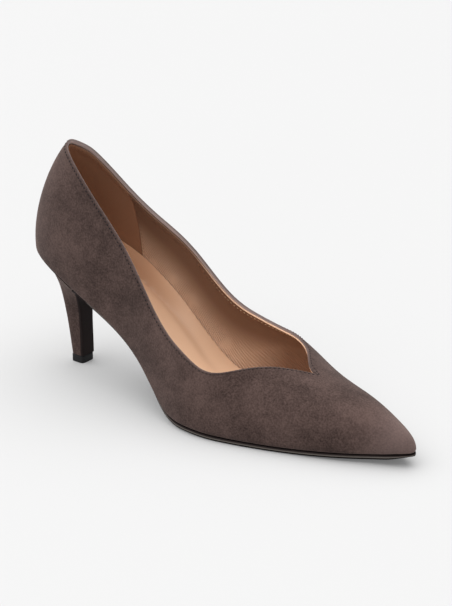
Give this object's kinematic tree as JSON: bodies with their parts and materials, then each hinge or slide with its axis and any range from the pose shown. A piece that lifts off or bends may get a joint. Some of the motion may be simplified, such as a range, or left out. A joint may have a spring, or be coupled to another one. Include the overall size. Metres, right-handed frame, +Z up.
{
  "type": "stiletto pump",
  "caption": "Pointed suede court shoe for the right foot, with a sweetheart topline, a slim covered heel, a leather lining and a thin sole.",
  "frame": {"origin": "middle of the heel tip's face on the floor", "axes": "+X to the toe, -Y to the outer side, +Y to the inner side, +Z up"},
  "size_m": [0.2533, 0.0796, 0.1316],
  "materials": {
    "suede": "suede, taupe brown, matt with a short nap",
    "sock": "smooth tan leather, satin",
    "sole": "dark finished sole leather",
    "lift": "black, dull"
  },
  "bodies": {
    "root": {"upper": "suede", "insole": "sock", "outsole": "sole", "heel": "suede", "top_lift": "lift"}
  },
  "joints": []
}
